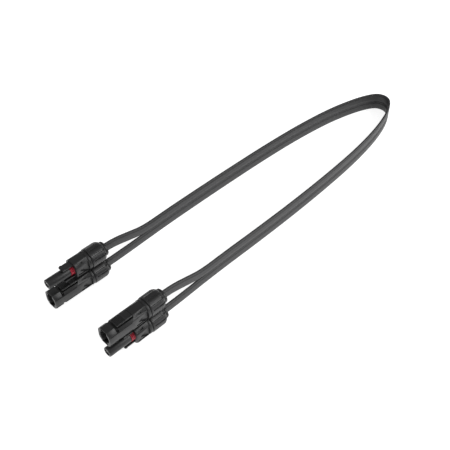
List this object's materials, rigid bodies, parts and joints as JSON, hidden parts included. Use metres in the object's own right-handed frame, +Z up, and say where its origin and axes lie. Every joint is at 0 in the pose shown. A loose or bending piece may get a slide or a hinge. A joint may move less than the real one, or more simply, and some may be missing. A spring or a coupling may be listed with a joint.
{
  "type": "solar cable connector lead",
  "caption": "Flat twin-core photovoltaic extension lead: a ribbon cable in a long loop, with a push-lock plug and socket stacked at each end.",
  "frame": {"origin": "bottom centre of the box round the four connectors, on the surface that the lead lies on", "axes": "+X from the connectors along the lead to the loop, +Z up, +Y from the near pair of connectors to the far pair"},
  "size_m": [0.4466, 0.0962, 0.039],
  "materials": {
    "housing": "fine matte black moulded plastic",
    "cap_nut": "satin black moulded plastic",
    "claw": "dark grey moulded plastic",
    "grommet": "soft black rubber",
    "seal": "glossy red silicone rubber",
    "copper": "bare stranded copper",
    "tinned_contact": "satin tin plate on copper alloy",
    "jacket": "matte dark grey flat cable jacket"
  },
  "bodies": {
    "lead": {"lower_core": "jacket", "upper_core": "jacket", "far_plug_body": "housing", "far_plug_nose_seal": "seal", "far_plug_contact": "tinned_contact", "far_plug_clamp_claw": "claw", "far_plug_cable_seal": "grommet", "far_plug_strand": "copper", "far_socket_body": "housing", "far_socket_contact": "tinned_contact", "far_socket_clamp_claw": "claw", "far_socket_cable_seal": "grommet", "far_socket_strand": "copper", "near_socket_body": "housing", "near_socket_contact": "tinned_contact", "near_socket_clamp_claw": "claw", "near_socket_cable_seal": "grommet", "near_socket_strand": "copper", "near_plug_body": "housing", "near_plug_nose_seal": "seal", "near_plug_contact": "tinned_contact", "near_plug_clamp_claw": "claw", "near_plug_cable_seal": "grommet", "near_plug_strand": "copper"},
    "far_plug_bush": {"far_plug_end_bush": "housing"},
    "far_plug_nut": {"far_plug_cap_nut": "cap_nut"},
    "far_plug_arm_top": {"far_plug_latch_arm_top": "housing"},
    "far_plug_arm_bottom": {"far_plug_latch_arm_bottom": "housing"},
    "far_socket_bush": {"far_socket_end_bush": "housing"},
    "far_socket_nut": {"far_socket_cap_nut": "cap_nut"},
    "far_socket_tongue_top": {"far_socket_tongue_top": "housing"},
    "far_socket_tongue_bottom": {"far_socket_tongue_bottom": "housing"},
    "near_socket_bush": {"near_socket_end_bush": "housing"},
    "near_socket_nut": {"near_socket_cap_nut": "cap_nut"},
    "near_socket_tongue_top": {"near_socket_tongue_top": "housing"},
    "near_socket_tongue_bottom": {"near_socket_tongue_bottom": "housing"},
    "near_plug_bush": {"near_plug_end_bush": "housing"},
    "near_plug_nut": {"near_plug_cap_nut": "cap_nut"},
    "near_plug_arm_top": {"near_plug_latch_arm_top": "housing"},
    "near_plug_arm_bottom": {"near_plug_latch_arm_bottom": "housing"}
  },
  "joints": [
    {"name": "far_plug_nut_travel", "type": "slide", "parent": "lead", "child": "far_plug_bush", "axis": [1, 0, 0], "range_m": [0, 0.0045]},
    {"name": "far_plug_nut_turn", "type": "hinge", "parent": "far_plug_bush", "child": "far_plug_nut", "pos_m": [0.02, 0.0386, 0.0295], "axis": [1, 0, 0], "range_deg": [0, 1080]},
    {"name": "far_plug_arm_top_squeeze", "type": "hinge", "parent": "lead", "child": "far_plug_arm_top", "pos_m": [-0.0036, 0.0386, 0.0361], "axis": [0, -1, 0], "range_deg": [0, 4], "stiffness_Nm_per_rad": 1},
    {"name": "far_plug_arm_bottom_squeeze", "type": "hinge", "parent": "lead", "child": "far_plug_arm_bottom", "pos_m": [-0.0036, 0.0386, 0.0229], "axis": [0, 1, 0], "range_deg": [0, 4], "stiffness_Nm_per_rad": 1},
    {"name": "far_socket_nut_travel", "type": "slide", "parent": "lead", "child": "far_socket_bush", "axis": [1, 0, 0], "range_m": [0, 0.0045]},
    {"name": "far_socket_nut_turn", "type": "hinge", "parent": "far_socket_bush", "child": "far_socket_nut", "pos_m": [0.02, 0.0386, 0.0095], "axis": [1, 0, 0], "range_deg": [0, 1080]},
    {"name": "far_socket_tongue_top_press", "type": "hinge", "parent": "lead", "child": "far_socket_tongue_top", "pos_m": [-0.0058, 0.0386, 0.0166], "axis": [0, -1, 0], "range_deg": [0, 3], "stiffness_Nm_per_rad": 1.5},
    {"name": "far_socket_tongue_bottom_press", "type": "hinge", "parent": "lead", "child": "far_socket_tongue_bottom", "pos_m": [-0.0058, 0.0386, 0.0024], "axis": [0, 1, 0], "range_deg": [0, 3], "stiffness_Nm_per_rad": 1.5},
    {"name": "near_socket_nut_travel", "type": "slide", "parent": "lead", "child": "near_socket_bush", "axis": [1, 0, 0], "range_m": [0, 0.0045]},
    {"name": "near_socket_nut_turn", "type": "hinge", "parent": "near_socket_bush", "child": "near_socket_nut", "pos_m": [0.02, -0.0386, 0.0295], "axis": [1, 0, 0], "range_deg": [0, 1080]},
    {"name": "near_socket_tongue_top_press", "type": "hinge", "parent": "lead", "child": "near_socket_tongue_top", "pos_m": [-0.0058, -0.0386, 0.0366], "axis": [0, -1, 0], "range_deg": [0, 3], "stiffness_Nm_per_rad": 1.5},
    {"name": "near_socket_tongue_bottom_press", "type": "hinge", "parent": "lead", "child": "near_socket_tongue_bottom", "pos_m": [-0.0058, -0.0386, 0.0224], "axis": [0, 1, 0], "range_deg": [0, 3], "stiffness_Nm_per_rad": 1.5},
    {"name": "near_plug_nut_travel", "type": "slide", "parent": "lead", "child": "near_plug_bush", "axis": [1, 0, 0], "range_m": [0, 0.0045]},
    {"name": "near_plug_nut_turn", "type": "hinge", "parent": "near_plug_bush", "child": "near_plug_nut", "pos_m": [0.02, -0.0386, 0.0095], "axis": [1, 0, 0], "range_deg": [0, 1080]},
    {"name": "near_plug_arm_top_squeeze", "type": "hinge", "parent": "lead", "child": "near_plug_arm_top", "pos_m": [-0.0036, -0.0386, 0.0161], "axis": [0, -1, 0], "range_deg": [0, 4], "stiffness_Nm_per_rad": 1},
    {"name": "near_plug_arm_bottom_squeeze", "type": "hinge", "parent": "lead", "child": "near_plug_arm_bottom", "pos_m": [-0.0036, -0.0386, 0.0029], "axis": [0, 1, 0], "range_deg": [0, 4], "stiffness_Nm_per_rad": 1}
  ],
  "couplings": [
    {"joint": "far_plug_nut_travel", "follows": "far_plug_nut_turn", "m_per_rad": 0.00023873},
    {"joint": "far_socket_nut_travel", "follows": "far_socket_nut_turn", "m_per_rad": 0.00023873},
    {"joint": "near_socket_nut_travel", "follows": "near_socket_nut_turn", "m_per_rad": 0.00023873},
    {"joint": "near_plug_nut_travel", "follows": "near_plug_nut_turn", "m_per_rad": 0.00023873}
  ]
}
